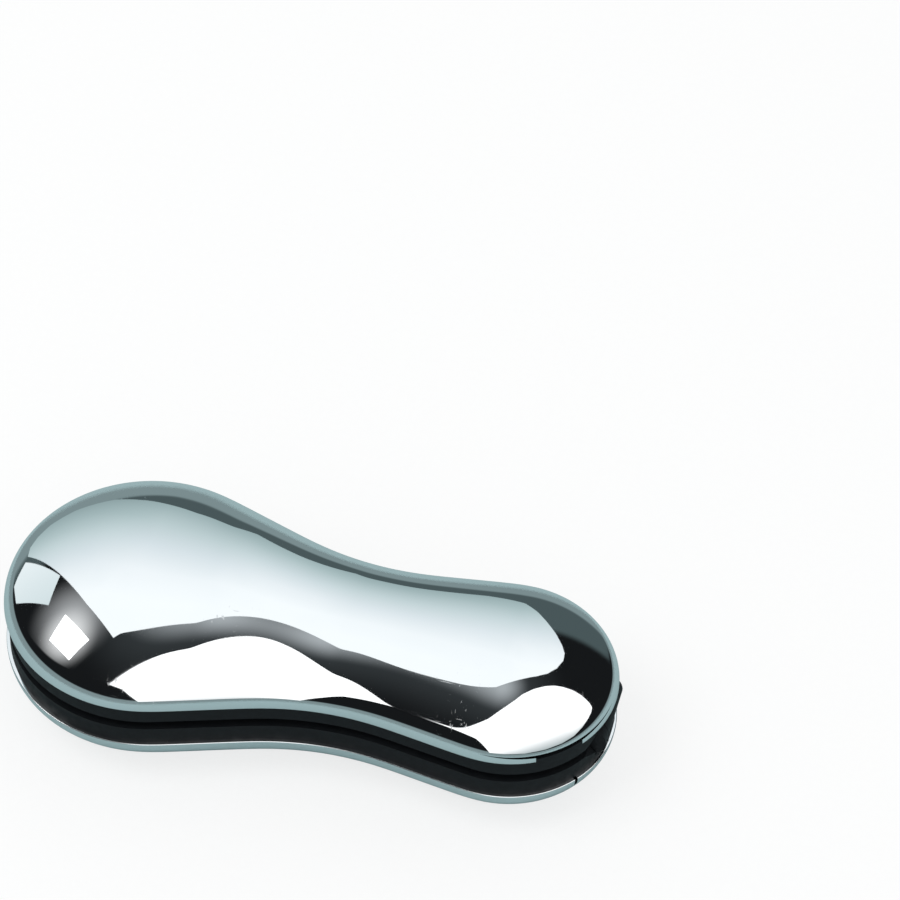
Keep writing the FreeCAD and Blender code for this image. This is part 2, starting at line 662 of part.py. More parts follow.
def grip_ring(table_z):
    """Rubber ring seated in a rotor and standing proud of it."""
    face_z = table_z - GRIP_PROUD
    return turned([
        (GRIP_INNER_RADIUS, table_z + GRIP_SEAT_DEPTH),
        (GRIP_OUTER_RADIUS, table_z + GRIP_SEAT_DEPTH),
        (GRIP_OUTER_RADIUS, face_z + GRIP_CHAMFER),
        (GRIP_OUTER_RADIUS - GRIP_CHAMFER, face_z),
        (GRIP_INNER_RADIUS + GRIP_CHAMFER, face_z),
        (GRIP_INNER_RADIUS, face_z + GRIP_CHAMFER),
    ])


def hub_friction_ring():
    return grip_ring(HUB_TABLE_Z)


def clamp_friction_ring():
    return grip_ring(CLAMP_TABLE_Z)


def washer():
    ring = cylinder(WASHER_RADIUS, FLOOR_DEPTH - WASHER_THICKNESS, FLOOR_DEPTH, BIG_X)
    return ring.cut(cylinder(AXLE_RADIUS + AXLE_RUNNING_FIT, 0, FLOOR_DEPTH, BIG_X))


def cross_recess(x, y, head_z, width, depth, reach):
    """Two crossed slots, cut into a head from its face."""
    slots = []
    for long_x, long_y in ((reach, width), (width, reach)):
        corner = V(x - long_x / 2, y - long_y / 2, head_z)
        slots.append(Part.makeBox(long_x, long_y, depth, corner))
    return slots[0].fuse(slots[1])


def axle(nose_z):
    """Shoulder screw: head in the rotor's pocket, shoulder on the frame's floor, thread in its boss."""
    under_head = nose_z + HEAD_POCKET_DEPTH - AXLE_END_PLAY
    head_face = under_head - AXLE_HEAD_HEIGHT
    body = turned([
        (0, head_face),
        (AXLE_HEAD_RADIUS - AXLE_HEAD_CHAMFER, head_face),
        (AXLE_HEAD_RADIUS, head_face + AXLE_HEAD_CHAMFER),
        (AXLE_HEAD_RADIUS, under_head),
        (AXLE_RADIUS, under_head),
        (AXLE_RADIUS, FLOOR_DEPTH),
        (AXLE_THREAD_RADIUS, FLOOR_DEPTH),
        (AXLE_THREAD_RADIUS, FLOOR_DEPTH + AXLE_THREAD_LENGTH),
        (0, FLOOR_DEPTH + AXLE_THREAD_LENGTH),
    ])
    return body.cut(cross_recess(BIG_X, 0, head_face, DRIVE_WIDTH, DRIVE_DEPTH, AXLE_HEAD_RADIUS))


def hub_axle():
    return axle(-SPIGOT_RISE)


def clamp_axle():
    return axle(CLAMP_TABLE_Z)


# ---------------------------------------------------------------- self-tapping screws


def screw(x, y):
    head_face = FLOOR_DEPTH - SCREW_HEAD_HEIGHT
    tip_z = FLOOR_DEPTH + SCREW_LENGTH
    head = cylinder(SCREW_HEAD_RADIUS, head_face, FLOOR_DEPTH, x, y)
    shank = cylinder(SCREW_RADIUS, FLOOR_DEPTH, tip_z - SCREW_TIP_LENGTH, x, y)
    tip_start = V(x, y, tip_z - SCREW_TIP_LENGTH)
    tip = Part.makeCone(SCREW_RADIUS, SCREW_TIP_RADIUS, SCREW_TIP_LENGTH, tip_start, Z_AXIS)
    recess = cross_recess(x, y, head_face, SCREW_DRIVE_WIDTH, SCREW_DRIVE_DEPTH, SCREW_HEAD_RADIUS)
    return head.fuse([shank, tip]).cut(recess)


def cover_screws():
    return Part.makeCompound([screw(x, y) for x, y in screw_places()])


# ---------------------------------------------------------------- assembly

LID_PARTS = {
    "top_cover": top_cover,
    "top_trim_ring": top_trim_ring,
    "top_frame": top_frame,
    "top_foam_pad": foam_pad,
    "top_cloth_pad": cloth_pad,
    "top_screws": cover_screws,
    "clamp_axle": clamp_axle,
    "clamp_washer": washer,
    "disc_clamp": disc_clamp,
    "clamp_friction_ring": clamp_friction_ring,
    "hinge_pin": hinge_pin,
    "hinge_spring": hinge_spring,
}

BASE_PARTS = {
    "bottom_cover": bottom_cover,
    "standing_feet": standing_feet,
    "bottom_trim_ring": bottom_trim_ring,
    "bottom_frame": bottom_frame,
    "bottom_foam_pad": foam_pad,
    "bottom_cloth_pad": cloth_pad,
    "bottom_screws": cover_screws,
    "hub_axle": hub_axle,
    "hub_washer": washer,
    "disc_hub": disc_hub,
    "hub_friction_ring": hub_friction_ring,
}

os.makedirs("parts", exist_ok=True)
for name, build in LID_PARTS.items():
    lid(build()).exportStep("parts/" + name + ".step")
for name, build in BASE_PARTS.items():
    base(build()).exportStep("parts/" + name + ".step")
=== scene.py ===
import math

import bmesh
import bpy
from mathutils import Matrix, Vector


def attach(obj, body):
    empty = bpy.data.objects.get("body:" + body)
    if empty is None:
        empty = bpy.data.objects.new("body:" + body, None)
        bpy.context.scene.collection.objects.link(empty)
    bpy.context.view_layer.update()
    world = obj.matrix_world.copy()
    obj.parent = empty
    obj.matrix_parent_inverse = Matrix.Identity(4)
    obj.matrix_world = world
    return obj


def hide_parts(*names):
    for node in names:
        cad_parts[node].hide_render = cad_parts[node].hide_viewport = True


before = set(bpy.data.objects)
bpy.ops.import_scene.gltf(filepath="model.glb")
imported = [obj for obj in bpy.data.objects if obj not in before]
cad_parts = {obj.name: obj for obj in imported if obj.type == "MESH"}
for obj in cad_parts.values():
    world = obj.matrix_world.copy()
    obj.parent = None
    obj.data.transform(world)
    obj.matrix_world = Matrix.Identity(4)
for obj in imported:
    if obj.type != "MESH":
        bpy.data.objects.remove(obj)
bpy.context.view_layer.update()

MM = 0.001

# Lengths are in millimetres until a mesh is made, as in the CAD. A cover, ring or pad is shaped in
# half coordinates: z = 0 on the plane between the two halves, growing outward. The lid's half is
# lifted to its place, the base's half is mirrored to it.

# outline, seen from above: a big lobe, a neck and a small lobe along X
BIG_RADIUS = 20.6
SMALL_RADIUS = 15.55
SPACING = 52.55              # between the lobes' centres
BIG_FLANK = math.radians(18.3)     # slant of the straight stretch beside each lobe
SMALL_FLANK = math.radians(8.35)
NECK_RADIUS = 42.8

# heights of the ridge over the rim
BIG_CROWN = 10.4
SMALL_CROWN = 8.45
NECK_CROWN = 8.0
RIDGE_FALL = (10.0, 30.0)    # from the big lobe's centre, where the ridge drops to the neck
RIDGE_RISE = (33.0, 52.55)   # where it rises again to the small lobe

# covers
RIM = 3.7                    # half the black band
STAND = 12.0                 # height of the plane between the halves
FLAT = 11.5                  # half coordinate of the flat over the feet
ROUND = 4.55                 # rounding between rim and crown
WALL = 1.0
STAND_WALL = 1.2             # over the feet

# trim rings: the lid's is open at the front of the small lobe, the base's has a fine joint there
RING_TOP = 5.0
RING_INSET = 1.65
RING_ROUND = 0.12            # worn edge
SPLIT_GAP = 7.3
SPLIT_ANGLE = -48.0          # degrees round the small lobe's centre, from +X
SPLIT_DROOP = 0.45           # how far the open ring's ends sink below its top
SPLIT_REACH = 30.0           # degrees over which that fades
JOINT_GAP = 0.5
JOINT_ANGLE = -37.0

LENGTH = BIG_RADIUS + SPACING + SMALL_RADIUS
BIG_X = BIG_RADIUS - LENGTH / 2
SMALL_X = BIG_X + SPACING


def smooth(share):
    share = min(1.0, max(0.0, share))
    return share * share * (3 - 2 * share)


# ---------------------------------------------------------------- camera

REFERENCE = Vector((2.525, 0.0, 15.7)) * MM   # middle of the two lobes, at the lid's rim
CAMERA_ELEVATION = 50.6854
CAMERA_AZIMUTH = 15.7960
CAMERA_DISTANCE = 0.65828
CAMERA_PAN = -1.49672
CAMERA_TILT = 2.29656
LENS = 186.655
SENSOR = 36.0
CLIP_START = 0.01


def make_camera():
    """Faces the reference point, then turns a little to set the part in its place in the frame."""
    elevation = math.radians(CAMERA_ELEVATION)
    azimuth = math.radians(CAMERA_AZIMUTH)
    back = Vector((math.sin(azimuth) * math.cos(elevation),
                   -math.cos(azimuth) * math.cos(elevation), math.sin(elevation)))
    look = (-back).to_track_quat("-Z", "Y").to_matrix().to_4x4()
    pan = Matrix.Rotation(math.radians(CAMERA_PAN), 4, "Y")
    tilt = Matrix.Rotation(math.radians(CAMERA_TILT), 4, "X")
    data = bpy.data.cameras.new("camera")
    data.sensor_width = SENSOR
    data.lens = LENS
    data.clip_start = CLIP_START
    camera = bpy.data.objects.new("camera", data)
    bpy.context.scene.collection.objects.link(camera)
    place = Matrix.Translation(REFERENCE + back * CAMERA_DISTANCE)
    camera.matrix_world = place @ look @ pan @ tilt
    bpy.context.scene.camera = camera


make_camera()

# ---------------------------------------------------------------- node helpers


class Nodes:
    """Short way to add and link the nodes of one tree."""

    def __init__(self, tree):
        self.tree = tree
        tree.nodes.clear()

    def add(self, kind, inputs=None, **settings):
        node = self.tree.nodes.new(kind)
        for key, value in settings.items():
            setattr(node, key, value)
        for key, value in (inputs or {}).items():
            self.feed(node.inputs[key], value)
        return node

    def feed(self, socket, value):
        if isinstance(value, bpy.types.NodeSocket):
            self.tree.links.new(value, socket)
        elif isinstance(value, tuple) and len(value) == 3 and len(socket.default_value) == 4:
            socket.default_value = (*value, 1.0)
        else:
            socket.default_value = value

    def end(self, kind, surface):
        self.add(kind, {"Surface": surface})

    def place(self):
        return self.add("ShaderNodeTexCoord").outputs["Object"]

    def noise(self, place, scale, detail):
        return self.add("ShaderNodeTexNoise", {"Vector": place, "Scale": scale,
                                               "Detail": detail}).outputs["Fac"]

    def bump(self, height, distance, strength=1.0):
        return self.add("ShaderNodeBump", {"Height": height, "Strength": strength,
                                           "Distance": distance}).outputs[0]

    def math(self, operation, *values):
        node = self.add("ShaderNodeMath", operation=operation)
        for socket, value in zip(node.inputs, values):
            self.feed(socket, value)
        return node.outputs[0]

    def remap(self, value, low, high, to_low=0.0, to_high=1.0):
        return self.add("ShaderNodeMapRange",
                        {"Value": value, "From Min": low, "From Max": high, "To Min": to_low,
                         "To Max": to_high}, interpolation_type="SMOOTHSTEP").outputs[0]

    def mix(self, factor, first, second, blend_type="MIX"):
        """Mixes colours; the node keeps sockets 6 and 7, and output 2, for those."""
        node = self.add("ShaderNodeMix", data_type="RGBA", blend_type=blend_type)
        self.feed(node.inputs[0], factor)
        self.feed(node.inputs[6], first)
        self.feed(node.inputs[7], second)
        return node.outputs[2]


# ---------------------------------------------------------------- studio

STUDIO_TURN = 15.8           # the studio is squared to the camera, degrees about Z
ROOM_LIGHT = 0.86
DARK = (0.009, 0.010, 0.011)
TABLE = (0.22, 0.29, 0.30)
BACK_WALL = (0.075, 0.105, 0.11)

# What polished metal sees of the studio: panels of light at a distance from the part, in
# millimetres. Their corners are on a chart of the sky as seen from the part, in degrees from the
# zenith, to the right and towards the camera. A panel's light changes along one direction of the
# chart: weights of the two coordinates, then tints as (weighted degrees, colour).
OVERHEAD_TINTS = [(-92, (0.27, 0.36, 0.37)), (-81, (0.35, 0.46, 0.47)), (-69, (0.46, 0.58, 0.59)),
                  (-56, (0.64, 0.75, 0.77)), (-44, (0.77, 0.85, 0.89)), (-31, (0.95, 1.0, 1.03)),
                  (-16, (1.06, 1.10, 1.12))]
SIDE_TINTS = [(-60, (0.92, 0.99, 1.01)), (-20, (0.74, 0.84, 0.86))]
FRONT_TINTS = [(60, (1.35, 1.35, 1.35)), (71, (0.85, 0.88, 0.89)), (86, (0.48, 0.54, 0.55))]
LAMP_TINTS = [(-10, (3.2, 3.2, 3.2)), (20, (3.2, 3.2, 3.2))]
PANELS = [
    ("overhead", 270.0, (0.0, 1.0), OVERHEAD_TINTS,
     [(-62, -62), (-60, -69), (-56, -75), (-50, -81), (-40, -85.5), (-25, -87), (-10, -83),
      (2, -79), (14, -82), (20, -77), (26, -68), (31, -58), (37, -46), (41, -36), (42.6, -29.7),
      (42, -23), (38, -15), (32, -9), (25, -5.5), (8, 0.4), (-12, 7.2), (-20, 10.4), (-25.3, 13),
      (-38, -10), (-50, -36)]),
    ("side", 300.0, (0.0, 1.0), SIDE_TINTS,
     [(-63, -59), (-49, -34), (-56.5, -18.5), (-72.3, -33.8), (-71, -47)]),
    ("front", 340.0, (0.6, 0.75), FRONT_TINTS,
     [(-30.5, 39.2), (-18, 31.5), (-6, 24), (3, 18.2), (9, 13.8), (14, 9.3), (22, 4.2), (30, 0.4),
      (36, -1.6), (42, -2.6), (49, -2.9), (56, -2), (62, 0.2), (67, 4), (71.5, 9.3), (75, 18),
      (78, 32), (78, 47), (70, 62), (52, 78), (28, 90), (0, 94), (-20, 93), (-23, 70), (-24, 52)]),
    ("lamp", 320.0, (0.0, 1.0), LAMP_TINTS,
     [(-48.5, -8.2), (-37.7, 10.8), (-50.2, 17.8), (-58.8, 1.7)]),
]
PANEL_EDGE = 3.0             # longest edge of a panel's outline, degrees
PANEL_CUTS = 3


def sky_direction(u, v):
    """Direction of a chart point, in the part's own axes."""
    away = math.hypot(u, v)
    reach = math.sin(math.radians(away)) / max(away, 1e-6)
    direction = Vector((u * reach, -v * reach, math.cos(math.radians(away))))
    return Matrix.Rotation(math.radians(STUDIO_TURN), 3, "Z") @ direction


def blend(under, over, share):
    return [a + (b - a) * share for a, b in zip(under, over)]


def tint_at(tints, place):
    for (start, low), (end, high) in zip(tints, tints[1:]):
        if place <= end:
            return blend(low, high, min(1.0, max(0.0, (place - start) / (end - start))))
    return tints[-1][1]


def hang(name, mesh, distance, tone, look):
    """Turns a flat chart mesh into a curved card of light, seen only in polished surfaces."""
    data = bpy.data.meshes.new(name)
    mesh.to_mesh(data)
    mesh.free()
    glow = data.color_attributes.new("glow", "FLOAT_COLOR", "POINT")
    for vertex, item in zip(data.vertices, glow.data):
        u, v, _ = vertex.co
        item.color = (*tone(u, v), 1.0)
        vertex.co = REFERENCE + sky_direction(u, v) * distance * MM
    card = bpy.data.objects.new("panel_" + name, data)
    bpy.context.scene.collection.objects.link(card)
    data.materials.append(look)
    for ray in ("camera", "diffuse", "transmission", "volume_scatter", "shadow"):
        setattr(card, "visible_" + ray, False)


def make_panel(name, distance, weights, tints, corners, look):
    mesh = bmesh.new()
    rim = []
    for (u0, v0), (u1, v1) in zip(corners, corners[1:] + corners[:1]):
        steps = max(1, math.ceil(math.hypot(u1 - u0, v1 - v0) / PANEL_EDGE))
        rim += [mesh.verts.new((u0 + (u1 - u0) * i / steps, v0 + (v1 - v0) * i / steps, 0))
                for i in range(steps)]
    mesh.faces.new(rim)
    bmesh.ops.triangulate(mesh, faces=mesh.faces)
    bmesh.ops.subdivide_edges(mesh, edges=mesh.edges, cuts=PANEL_CUTS, use_grid_fill=True)
    hang(name, mesh, distance, lambda u, v: tint_at(tints, weights[0] * u + weights[1] * v), look)


# The dim room behind the panels, on the same chart: grey light by (middle, size, colour), the wall
# at the back and the table below.
HAZES = [((0, 6), 48, (0.045, 0.052, 0.056)), ((-1, 3), 20, (0.44, 0.47, 0.49)),
         ((-44, -5), 27, (0.44, 0.45, 0.46)), ((-48.5, 4.5), 19, (1.0, 1.0, 1.0))]
TABLE_MIDDLE = (5, 1)
TABLE_EDGE = 93              # degrees from its middle at which the table begins
TABLE_BLUR = 3
WALL_LINE = -50.0
WALL_RIGHT = 70.0
WALL_BLUR = 8
ROOM_DISTANCE = 420.0        # millimetres
ROOM_REACH = 114.0
ROOM_RINGS = 76
ROOM_SPOKES = 144


def room_tone(u, v):
    tone = DARK
    for middle, size, tint in HAZES:
        tone = blend(tone, tint, smooth(1 - math.dist((u, v), middle) / size))
    wall = smooth((WALL_LINE - v) / WALL_BLUR + 0.5) * smooth((WALL_RIGHT - u) / WALL_BLUR + 0.5)
    tone = blend(tone, BACK_WALL, wall)
    away = math.dist((u, v), TABLE_MIDDLE)
    return blend(tone, TABLE, smooth((away - TABLE_EDGE) / TABLE_BLUR + 0.5))


def make_room(look):
    mesh = bmesh.new()
    rings = []
    for i in range(1, ROOM_RINGS + 1):
        away = ROOM_REACH * i / ROOM_RINGS
        turns = [2 * math.pi * j / ROOM_SPOKES for j in range(ROOM_SPOKES)]
        rings.append([mesh.verts.new((away * math.cos(turn), away * math.sin(turn), 0))
                      for turn in turns])
    mesh.faces.new(rings[0])
    for inner, outer in zip(rings, rings[1:]):
        for j in range(ROOM_SPOKES):
            k = (j + 1) % ROOM_SPOKES
            mesh.faces.new((inner[j], inner[k], outer[k], outer[j]))
    hang("room", mesh, ROOM_DISTANCE, room_tone, look)


def make_panels():
    look = bpy.data.materials.new("panel_glow")
    look.use_nodes = True
    nodes = Nodes(look.node_tree)
    glow = nodes.add("ShaderNodeAttribute", attribute_name="glow").outputs["Color"]
    light = nodes.add("ShaderNodeEmission", {"Color": glow, "Strength": 1.0})
    nodes.end("ShaderNodeOutputMaterial", light.outputs[0])
    look.cycles.emission_sampling = "NONE"
    for panel in PANELS:
        make_panel(*panel, look)
    make_room(look)


def make_world():
    """Even room light; polished metal sees the table's colour below the room."""
    world = bpy.data.worlds.new("studio")
    world.use_nodes = True
    bpy.context.scene.world = world
    nodes = Nodes(world.node_tree)
    path = nodes.add("ShaderNodeLightPath").outputs
    colour = nodes.mix(path["Is Glossy Ray"], (ROOM_LIGHT, ROOM_LIGHT, ROOM_LIGHT), TABLE)
    colour = nodes.mix(path["Is Camera Ray"], colour, (1.0, 1.0, 1.0))
    background = nodes.add("ShaderNodeBackground", {"Color": colour, "Strength": 1.0})
    nodes.end("ShaderNodeOutputWorld", background.outputs[0])


FLOOR_HALF = 12.0            # metres
FLOOR_COLOUR = (0.90, 0.92, 0.92)
FLOOR_IN_METAL = (0.33, 0.45, 0.465)
FLOOR_FADE = (0.060, 0.100)  # metres beside the part over which polished metal loses the floor
FLOOR_WHITE = 0.75           # share of plain white in what the camera sees of the floor
FLOOR_GRAIN = 900.0


def make_floor():
    """Pale paper; clear from below, and to polished metal where it lies far from the part."""
    mesh = bpy.data.meshes.new("floor")
    corners = [(-FLOOR_HALF, -FLOOR_HALF, 0), (FLOOR_HALF, -FLOOR_HALF, 0),
               (FLOOR_HALF, FLOOR_HALF, 0), (-FLOOR_HALF, FLOOR_HALF, 0)]
    mesh.from_pydata(corners, [], [(0, 1, 2, 3)])
    floor = bpy.data.objects.new("floor", mesh)
    bpy.context.scene.collection.objects.link(floor)
    look = bpy.data.materials.new("floor_paper")
    look.use_nodes = True
    nodes = Nodes(look.node_tree)
    path = nodes.add("ShaderNodeLightPath").outputs
    place = nodes.place()
    grain = nodes.remap(nodes.noise(place, FLOOR_GRAIN, 3.0), 0.3, 0.7, 0.98, 1.0)
    colour = nodes.mix(path["Is Glossy Ray"], FLOOR_COLOUR, FLOOR_IN_METAL)
    colour = nodes.mix(1.0, colour, grain, "MULTIPLY")
    paper = nodes.add("ShaderNodeBsdfDiffuse", {"Color": colour})
    white = nodes.add("ShaderNodeEmission", {"Color": (1, 1, 1), "Strength": 1.0})
    share = nodes.math("MULTIPLY", path["Is Camera Ray"], FLOOR_WHITE)
    mixed = nodes.add("ShaderNodeMixShader", {0: share, 1: paper.outputs[0], 2: white.outputs[0]})
    # distance from the line between the lobes' centres
    middle = nodes.add("ShaderNodeVectorMath", {0: place, 1: (REFERENCE.x, 0.0, 0.0)},
                       operation="SUBTRACT").outputs[0]
    axes = nodes.add("ShaderNodeSeparateXYZ", {"Vector": middle}).outputs
    along = nodes.math("SUBTRACT", nodes.math("ABSOLUTE", axes["X"]), SPACING / 2 * MM)
    beside = nodes.add("ShaderNodeCombineXYZ", {"X": nodes.math("MAXIMUM", along, 0.0),
                                                "Y": axes["Y"]}).outputs[0]
    away = nodes.add("ShaderNodeVectorMath", {0: beside}, operation="LENGTH").outputs["Value"]
    away = nodes.math("MULTIPLY", nodes.remap(away, *FLOOR_FADE), path["Is Glossy Ray"])
    below = nodes.add("ShaderNodeNewGeometry").outputs["Backfacing"]
    away = nodes.math("MAXIMUM", away, below)
    clear = nodes.add("ShaderNodeBsdfTransparent")
    mixed = nodes.add("ShaderNodeMixShader", {0: away, 1: mixed.outputs[0], 2: clear.outputs[0]})
    nodes.end("ShaderNodeOutputMaterial", mixed.outputs[0])
    mesh.materials.append(look)


KEY_PLACE = Vector((-0.35, -0.25, 0.75))   # metres
KEY_SIZE = 0.45
KEY_POWER = 2.0


def make_key_lamp():
    data = bpy.data.lights.new("key", "AREA")
    data.shape = "SQUARE"
    data.size = KEY_SIZE
    data.energy = KEY_POWER
    lamp = bpy.data.objects.new("key", data)
    bpy.context.scene.collection.objects.link(lamp)
    turn = (-KEY_PLACE).to_track_quat("-Z", "Y").to_matrix().to_4x4()
    lamp.matrix_world = Matrix.Translation(KEY_PLACE) @ turn
    lamp.visible_glossy = False
    lamp.visible_camera = False


bpy.context.scene.view_settings.view_transform = "Standard"
make_world()
make_panels()
make_floor()
make_key_lamp()

# ---------------------------------------------------------------- materials


def material(name, build):
    made = bpy.data.materials.new(name)
    made.use_nodes = True
    nodes = Nodes(made.node_tree)
    shader = nodes.add("ShaderNodeBsdfPrincipled")
    build(nodes, shader.inputs)
    nodes.end("ShaderNodeOutputMaterial", shader.outputs[0])
    return made


def chrome_look(nodes, sockets):
    """Bright plating: faintly uneven, with fine specks and hairline scratches in patches."""
    place = nodes.place()
    sockets["Metallic"].default_value = 1.0
    cloud = nodes.noise(place, 90.0, 4.0)
    nodes.feed(sockets["Base Color"], nodes.mix(cloud, (0.86, 0.885, 0.895), (0.90, 0.915, 0.92)))
    patches = nodes.remap(nodes.noise(place, 75.0, 1.0), 0.50, 0.66)
    squeezed = nodes.add("ShaderNodeMapping", {"Vector": place, "Scale": (1.0, 0.35, 0.35),
                                               "Rotation": (0.0, 0.0, 0.3)}).outputs[0]
    dust = nodes.remap(nodes.noise(squeezed, 2600.0, 2.0), 0.62, 0.72)
    drawn = nodes.add("ShaderNodeMapping", {"Vector": place, "Scale": (0.06, 1.0, 1.0),
                                            "Rotation": (0.0, 0.0, 1.2)}).outputs[0]
    hairs = nodes.remap(nodes.noise(drawn, 3000.0, 1.0), 0.70, 0.76)
    marks = nodes.math("MAXIMUM", nodes.math("MULTIPLY", dust, patches),
                       nodes.math("MULTIPLY", hairs, patches))
    rough = nodes.remap(cloud, 0.35, 0.75, 0.018, 0.05)
    rough = nodes.math("ADD", rough, nodes.math("MULTIPLY", marks, 0.20))
    nodes.feed(sockets["Roughness"], rough)
    nodes.feed(sockets["Normal"], nodes.bump(nodes.noise(place, 120.0, 1.0), 0.000004))


def plastic_look(dark, light, smoothest, roughest, scale, depth, shine=0.5):
    """Moulded surface: cloudy colour and gloss over a fine grain."""
    def build(nodes, sockets):
        place = nodes.place()
        cloud = nodes.noise(place, scale / 8, 5.0)
        grain = nodes.noise(place, scale, 3.0)
        nodes.feed(sockets["Base Color"], nodes.mix(cloud, dark, light))
        nodes.feed(sockets["Roughness"], nodes.remap(cloud, 0.3, 0.7, smoothest, roughest))
        sockets["Specular IOR Level"].default_value = shine
        nodes.feed(sockets["Normal"], nodes.bump(grain, depth))
    return build


def metal_look(dark, light, smoothest, roughest, along, depth):
    """Drawn or turned metal: fine lines across one direction."""
    def build(nodes, sockets):
        place = nodes.place()
        lines = nodes.add("ShaderNodeMapping", {"Vector": place, "Scale": along}).outputs[0]
        fine = nodes.noise(lines, 2400.0, 3.0)
        cloud = nodes.noise(place, 500.0, 4.0)
        sockets["Metallic"].default_value = 1.0
        nodes.feed(sockets["Base Color"], nodes.mix(cloud, dark, light))
        nodes.feed(sockets["Roughness"], nodes.remap(fine, 0.3, 0.7, smoothest, roughest))
        nodes.feed(sockets["Normal"], nodes.bump(fine, depth))
    return build


def foam_look(nodes, sockets):
    """Open-cell foam: small pits with painted shade in them, a little darker in places."""
    place = nodes.place()
    cells = nodes.add("ShaderNodeTexVoronoi", {"Vector": place, "Scale": 2600.0, "Randomness": 1.0})
    cloud = nodes.noise(place, 260.0, 4.0)
    depth = nodes.remap(cells.outputs["Distance"], 0.05, 0.6)
    # painted shade: the colour darkens towards the bottom of each pit, where the bump is lowest
    tint = nodes.mix(depth, (0.10, 0.105, 0.115), (0.27, 0.28, 0.30))
    tint = nodes.mix(nodes.remap(cloud, 0.3, 0.7, 0.0, 0.35), tint, (0.20, 0.21, 0.23))
    nodes.feed(sockets["Base Color"], tint)
    sockets["Roughness"].default_value = 0.95
    sockets["Specular IOR Level"].default_value = 0.2
    nodes.feed(sockets["Normal"], nodes.bump(depth, 0.00012, 0.9))


def cloth_look(nodes, sockets):
    """Short-pile microfibre over a fine knit, with painted shade in the knit's grooves and in
    patches where the pile lies the other way.
    """
    place = nodes.place()
    ribs = nodes.add("ShaderNodeTexWave",
                     {"Vector": place, "Scale": 520.0, "Distortion": 1.6, "Detail": 3.0,
                      "Detail Scale": 2.5}, bands_direction="Y").outputs["Fac"]
    loops = nodes.add("ShaderNodeTexWave",
                      {"Vector": place, "Scale": 640.0, "Distortion": 1.2, "Detail": 2.0},
                      bands_direction="X").outputs["Fac"]
    knit = nodes.math("MULTIPLY", ribs, loops)
    fluff = nodes.add("ShaderNodeTexNoise", {"Vector": place, "Scale": 5200.0, "Detail": 6.0,
                                             "Roughness": 0.7}).outputs["Fac"]
    # painted shade: random patches darker, standing in for pile that catches the light the other
    # way
    pile_shade_patches = nodes.remap(nodes.noise(place, 150.0, 3.0), 0.35, 0.65)
    tint = nodes.mix(pile_shade_patches, (0.56, 0.60, 0.65), (0.68, 0.72, 0.76))
    # painted shade: darker in the grooves between ribs and loops, where the knit height is low
    tint = nodes.mix(nodes.remap(knit, 0.0, 0.7, 0.35, 0.0), tint, (0.44, 0.48, 0.53))
    nodes.feed(sockets["Base Color"], tint)
    sockets["Roughness"].default_value = 0.92
    sockets["Sheen Weight"].default_value = 0.35
    sockets["Sheen Roughness"].default_value = 0.4
    height = nodes.math("ADD", nodes.math("MULTIPLY", knit, 0.6), fluff)
    nodes.feed(sockets["Normal"], nodes.bump(height, 0.00008, 0.8))


CHROME = material("chrome", chrome_look)
BLACK = material("black_plastic", plastic_look(
    dark=(0.0050, 0.0062, 0.0076), light=(0.0075, 0.0090, 0.0105), smoothest=0.50, roughest=0.62,
    scale=6000.0, depth=0.000004, shine=0.15))
STEEL = material("steel", metal_look(
    dark=(0.55, 0.55, 0.54), light=(0.68, 0.68, 0.67), smoothest=0.20, roughest=0.36,
    along=(1.0, 0.1, 1.0), depth=0.000004))
WIRE = material("spring_wire", metal_look(
    dark=(0.36, 0.36, 0.37), light=(0.46, 0.46, 0.47), smoothest=0.24, roughest=0.38,
    along=(0.15, 1.0, 1.0), depth=0.000003))
HUB = material("hub_plastic", plastic_look(
    dark=(0.045, 0.05, 0.055), light=(0.065, 0.07, 0.076), smoothest=0.36, roughest=0.48,
    scale=5000.0, depth=0.000006))
WASHER = material("washer_plastic", plastic_look(
    dark=(0.76, 0.75, 0.70), light=(0.83, 0.82, 0.78), smoothest=0.36, roughest=0.46,
    scale=2500.0, depth=0.000004))
RUBBER = material("rubber", plastic_look(
    dark=(0.028, 0.029, 0.031), light=(0.042, 0.043, 0.045), smoothest=0.7, roughest=0.85,
    scale=4000.0, depth=0.00001, shine=0.3))
FOAM = material("foam", foam_look)
CLOTH = material("cloth", cloth_look)

# ---------------------------------------------------------------- shape of the covers

BIG_NORMAL = (math.sin(BIG_FLANK), math.cos(BIG_FLANK))
SMALL_NORMAL = (-math.sin(SMALL_FLANK), math.cos(SMALL_FLANK))


def neck_centre():
    """Centre of the arc between the two flanks, from the big lobe's centre."""
    big_reach = BIG_RADIUS + NECK_RADIUS
    small_reach = SMALL_RADIUS + NECK_RADIUS + SMALL_NORMAL[0] * SPACING
    cross = BIG_NORMAL[0] * SMALL_NORMAL[1] - BIG_NORMAL[1] * SMALL_NORMAL[0]
    return ((big_reach * SMALL_NORMAL[1] - small_reach * BIG_NORMAL[1]) / cross,
            (small_reach * BIG_NORMAL[0] - big_reach * SMALL_NORMAL[0]) / cross)


NECK_ALONG, NECK_ASIDE = neck_centre()
SOFTEN = 2.0                 # length over which the outline's changes of curve are eased
EASE_REACH = 3               # in that length
EASE_STEPS = 12


